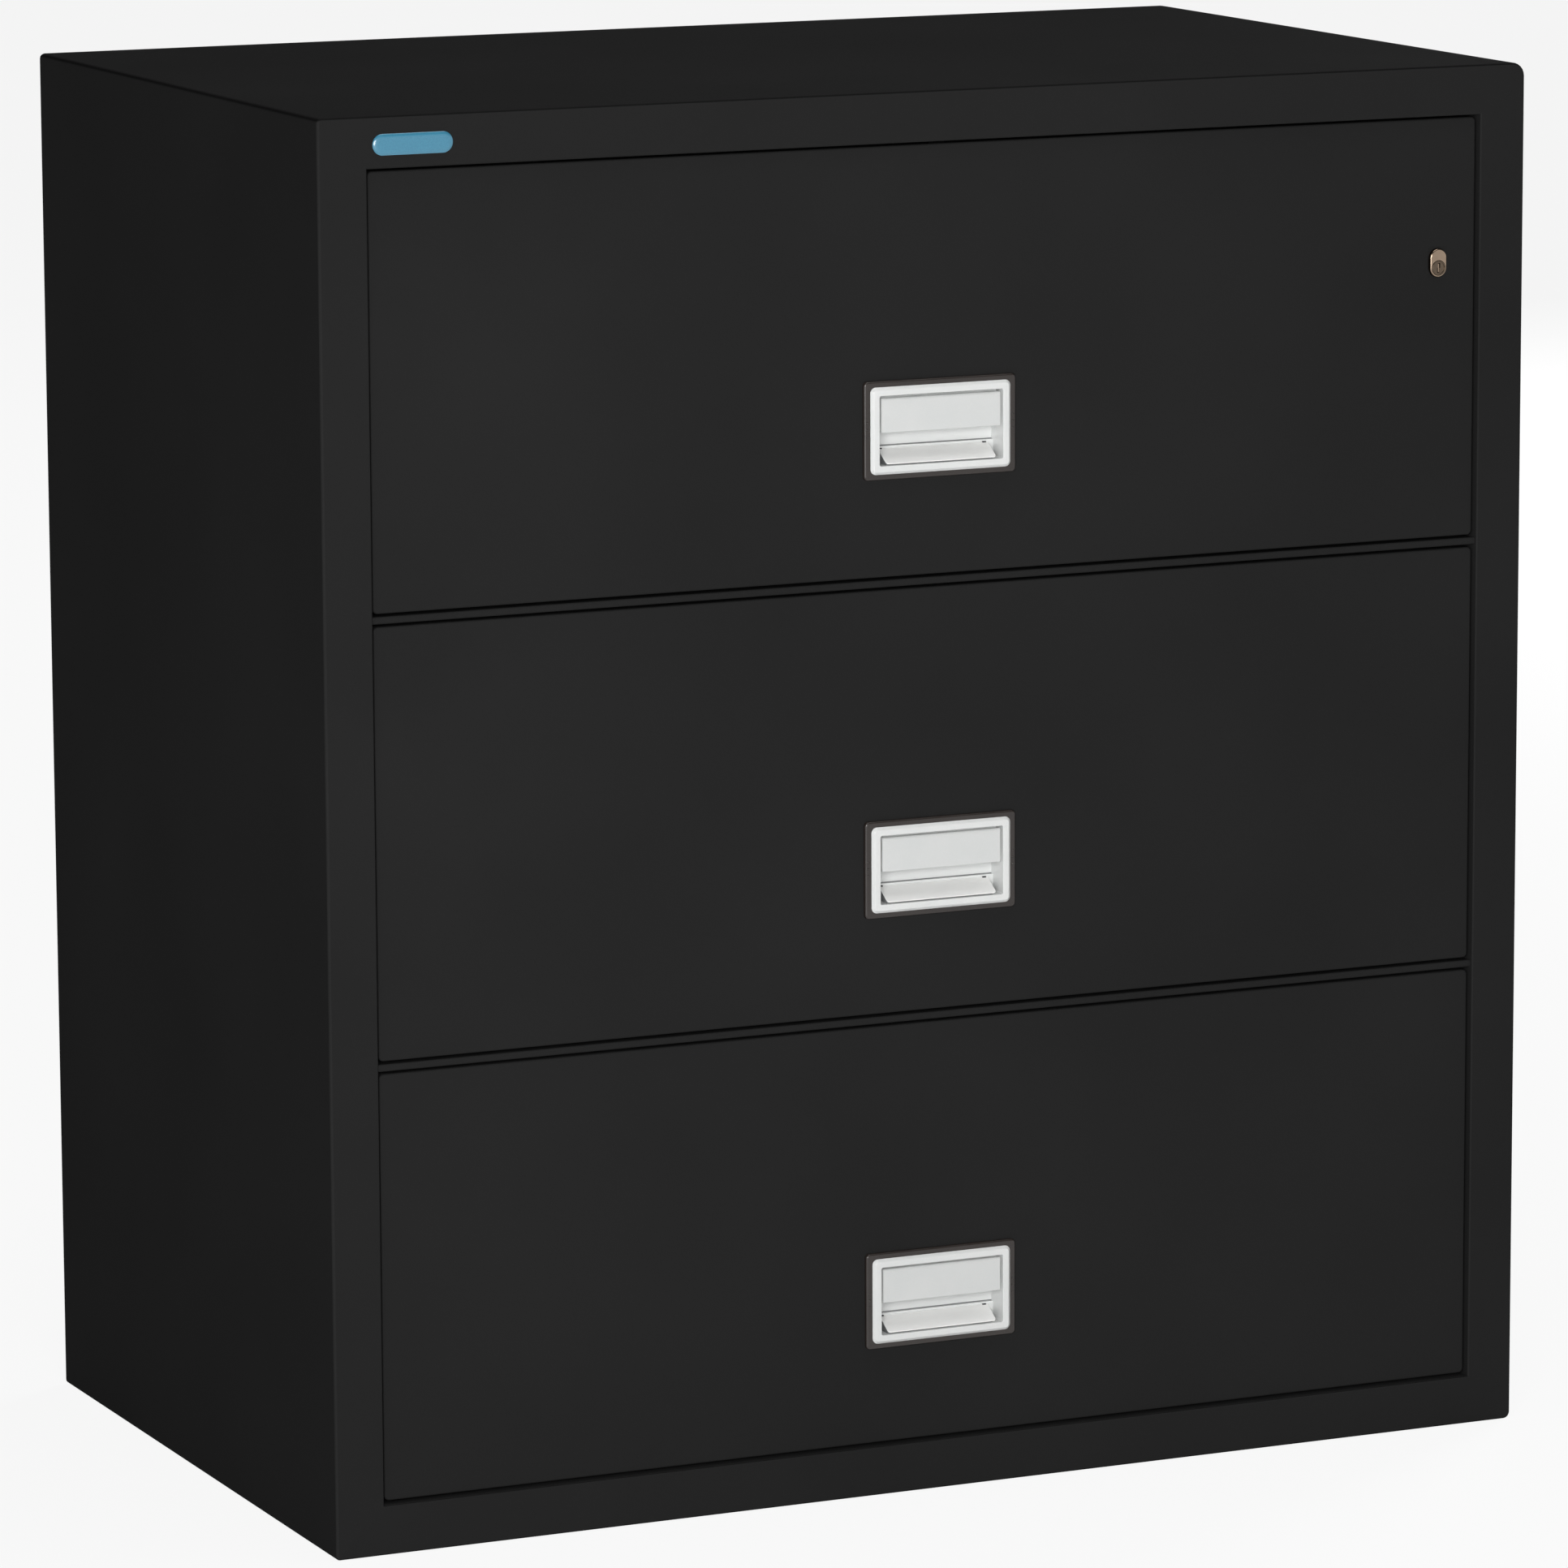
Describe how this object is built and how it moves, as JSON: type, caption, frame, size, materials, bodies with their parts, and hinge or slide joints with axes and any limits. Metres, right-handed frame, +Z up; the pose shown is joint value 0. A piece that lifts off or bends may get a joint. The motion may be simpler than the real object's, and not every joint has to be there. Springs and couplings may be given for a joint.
{
  "type": "lateral filing cabinet",
  "caption": "Wide steel filing cabinet with insulated walls, lateral drawers on telescoping slides, recessed paddle handles and a push lock.",
  "frame": {"origin": "on the floor, under the middle of the case", "axes": "+X to the right of a person facing the drawers, +Y from the drawer fronts to the back, +Z up"},
  "size_m": [0.952, 0.576, 1.026],
  "materials": {
    "black_paint": "satin",
    "insulating_board": "matte",
    "grey_paint": "satin",
    "zinc_steel": "satin",
    "bezel_plastic": "matte",
    "white_plastic": "satin",
    "nickel": "satin",
    "badge_resin": "gloss"
  },
  "bodies": {
    "cabinet": {"top_panel": "black_paint", "base_pan": "black_paint", "side_panel_left": "black_paint", "side_panel_right": "black_paint", "back_panel": "black_paint", "inner_wall_left": "insulating_board", "inner_wall_right": "insulating_board", "inner_wall_top": "insulating_board", "inner_wall_bottom": "insulating_board", "inner_wall_back": "insulating_board", "partition_lower": "insulating_board", "partition_upper": "insulating_board", "divider_rail_lower": "black_paint", "divider_rail_upper": "black_paint", "badge": "badge_resin", "slide_channel_bottom_left": "zinc_steel", "slide_channel_bottom_right": "zinc_steel", "slide_channel_middle_left": "zinc_steel", "slide_channel_middle_right": "zinc_steel", "slide_channel_top_left": "zinc_steel", "slide_channel_top_right": "zinc_steel"},
    "drawer_bottom": {"front_shell_bottom": "black_paint", "front_filling_bottom": "insulating_board", "front_plate_bottom": "grey_paint", "tray_bottom": "grey_paint", "slide_inner_bottom_left": "zinc_steel", "slide_inner_bottom_right": "zinc_steel", "handle_bezel_bottom": "bezel_plastic", "handle_pocket_bottom": "white_plastic"},
    "slide_pair_bottom": {"slide_middle_bottom_left": "zinc_steel", "slide_middle_bottom_right": "zinc_steel"},
    "paddle_bottom": {"paddle_bottom": "white_plastic"},
    "latch_bottom": {"latch_bar_bottom": "zinc_steel"},
    "drawer_middle": {"front_shell_middle": "black_paint", "front_filling_middle": "insulating_board", "front_plate_middle": "grey_paint", "tray_middle": "grey_paint", "slide_inner_middle_left": "zinc_steel", "slide_inner_middle_right": "zinc_steel", "handle_bezel_middle": "bezel_plastic", "handle_pocket_middle": "white_plastic"},
    "slide_pair_middle": {"slide_middle_middle_left": "zinc_steel", "slide_middle_middle_right": "zinc_steel"},
    "paddle_middle": {"paddle_middle": "white_plastic"},
    "latch_middle": {"latch_bar_middle": "zinc_steel"},
    "drawer_top": {"front_shell_top": "black_paint", "front_filling_top": "insulating_board", "front_plate_top": "grey_paint", "tray_top": "grey_paint", "slide_inner_top_left": "zinc_steel", "slide_inner_top_right": "zinc_steel", "handle_bezel_top": "bezel_plastic", "handle_pocket_top": "white_plastic", "lock_case": "zinc_steel"},
    "slide_pair_top": {"slide_middle_top_left": "zinc_steel", "slide_middle_top_right": "zinc_steel"},
    "paddle_top": {"paddle_top": "white_plastic"},
    "latch_top": {"latch_bar_top": "zinc_steel"},
    "lock_plunger": {"lock_plunger": "nickel"},
    "lock_plug": {"lock_plug": "nickel"}
  },
  "joints": [
    {"name": "drawer_bottom_slide", "type": "slide", "parent": "cabinet", "child": "drawer_bottom", "axis": [0, -1, 0], "range_m": [0, 0.4]},
    {"name": "slide_pair_bottom_slide", "type": "slide", "parent": "cabinet", "child": "slide_pair_bottom", "axis": [0, -1, 0], "range_m": [0, 0.2]},
    {"name": "paddle_bottom_hinge", "type": "hinge", "parent": "drawer_bottom", "child": "paddle_bottom", "pos_m": [0, -0.28575, 0.1667], "axis": [-1, 0, 0], "range_deg": [0, 22], "stiffness_Nm_per_rad": 0.15, "springref_deg": -17.19},
    {"name": "latch_bottom_slide", "type": "slide", "parent": "drawer_bottom", "child": "latch_bottom", "axis": [0, 0, -1], "range_m": [0, 0.00312]},
    {"name": "drawer_middle_slide", "type": "slide", "parent": "cabinet", "child": "drawer_middle", "axis": [0, -1, 0], "range_m": [0, 0.4]},
    {"name": "slide_pair_middle_slide", "type": "slide", "parent": "cabinet", "child": "slide_pair_middle", "axis": [0, -1, 0], "range_m": [0, 0.2]},
    {"name": "paddle_middle_hinge", "type": "hinge", "parent": "drawer_middle", "child": "paddle_middle", "pos_m": [0, -0.28575, 0.48595], "axis": [-1, 0, 0], "range_deg": [0, 22], "stiffness_Nm_per_rad": 0.15, "springref_deg": -17.19},
    {"name": "latch_middle_slide", "type": "slide", "parent": "drawer_middle", "child": "latch_middle", "axis": [0, 0, -1], "range_m": [0, 0.00312]},
    {"name": "drawer_top_slide", "type": "slide", "parent": "cabinet", "child": "drawer_top", "axis": [0, -1, 0], "range_m": [0, 0.4]},
    {"name": "slide_pair_top_slide", "type": "slide", "parent": "cabinet", "child": "slide_pair_top", "axis": [0, -1, 0], "range_m": [0, 0.2]},
    {"name": "paddle_top_hinge", "type": "hinge", "parent": "drawer_top", "child": "paddle_top", "pos_m": [0, -0.28575, 0.8052], "axis": [-1, 0, 0], "range_deg": [0, 22], "stiffness_Nm_per_rad": 0.15, "springref_deg": -17.19},
    {"name": "latch_top_slide", "type": "slide", "parent": "drawer_top", "child": "latch_top", "axis": [0, 0, -1], "range_m": [0, 0.00312]},
    {"name": "lock_plunger_slide", "type": "slide", "parent": "drawer_top", "child": "lock_plunger", "axis": [0, -1, 0], "range_m": [0, 0.009]},
    {"name": "lock_plug_turn", "type": "hinge", "parent": "lock_plunger", "child": "lock_plug", "pos_m": [0.406, -0.2855, 0.87755], "axis": [0, 1, 0], "range_deg": [0, 90]}
  ],
  "couplings": [
    {"joint": "slide_pair_bottom_slide", "follows": "drawer_bottom_slide", "ratio": 0.5},
    {"joint": "paddle_bottom_hinge", "follows": "latch_bottom_slide", "rad_per_m": 122.7},
    {"joint": "slide_pair_middle_slide", "follows": "drawer_middle_slide", "ratio": 0.5},
    {"joint": "paddle_middle_hinge", "follows": "latch_middle_slide", "rad_per_m": 122.7},
    {"joint": "slide_pair_top_slide", "follows": "drawer_top_slide", "ratio": 0.5},
    {"joint": "paddle_top_hinge", "follows": "latch_top_slide", "rad_per_m": 122.7}
  ]
}
